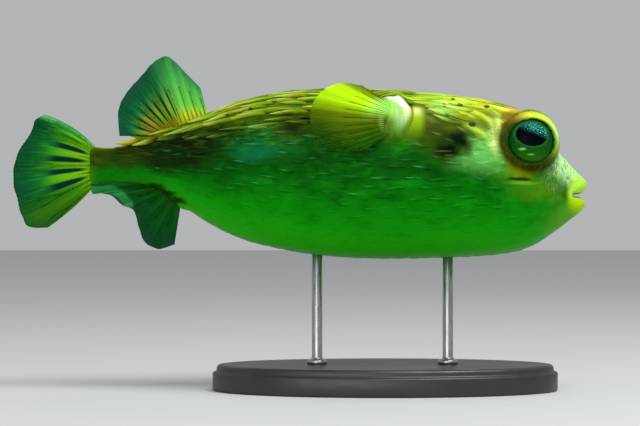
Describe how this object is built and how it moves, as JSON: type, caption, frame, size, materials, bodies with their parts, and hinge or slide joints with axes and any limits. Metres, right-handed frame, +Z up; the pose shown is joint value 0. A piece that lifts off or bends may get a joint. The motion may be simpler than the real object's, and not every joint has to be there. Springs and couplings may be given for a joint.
{
  "type": "long-spine porcupinefish display model",
  "caption": "Life-size still model of a porcupinefish swimming with its spines laid back, held above a flat oval base by short steel rods, for display.",
  "frame": {"origin": "centre of the flat underside of the stand's base", "axes": "+X to the animal's head, +Y to its left side, +Z up"},
  "size_m": [0.2197, 0.07, 0.1279],
  "materials": {
    "skin": "satin, wet look",
    "lips": "satin, wet look",
    "eyes": "clear gloss",
    "fins": "satin",
    "stand_paint": "satin black paint",
    "rod_steel": "brushed"
  },
  "bodies": {
    "root": {"head": "skin", "trunk": "skin", "tail_stalk": "skin", "nostril_right": "skin", "nostril_left": "skin", "gill_flap_right": "skin", "gill_flap_left": "skin", "pectoral_base_right": "skin", "pectoral_base_left": "skin", "upper_lip": "lips", "lower_lip": "lips", "eye_right": "eyes", "eye_left": "eyes", "caudal_fin": "fins", "dorsal_fin": "fins", "anal_fin": "fins", "pectoral_fin_right": "fins", "pectoral_fin_left": "fins", "stand_base": "stand_paint", "stand_rod_front": "rod_steel", "stand_rod_rear": "rod_steel"}
  },
  "joints": []
}
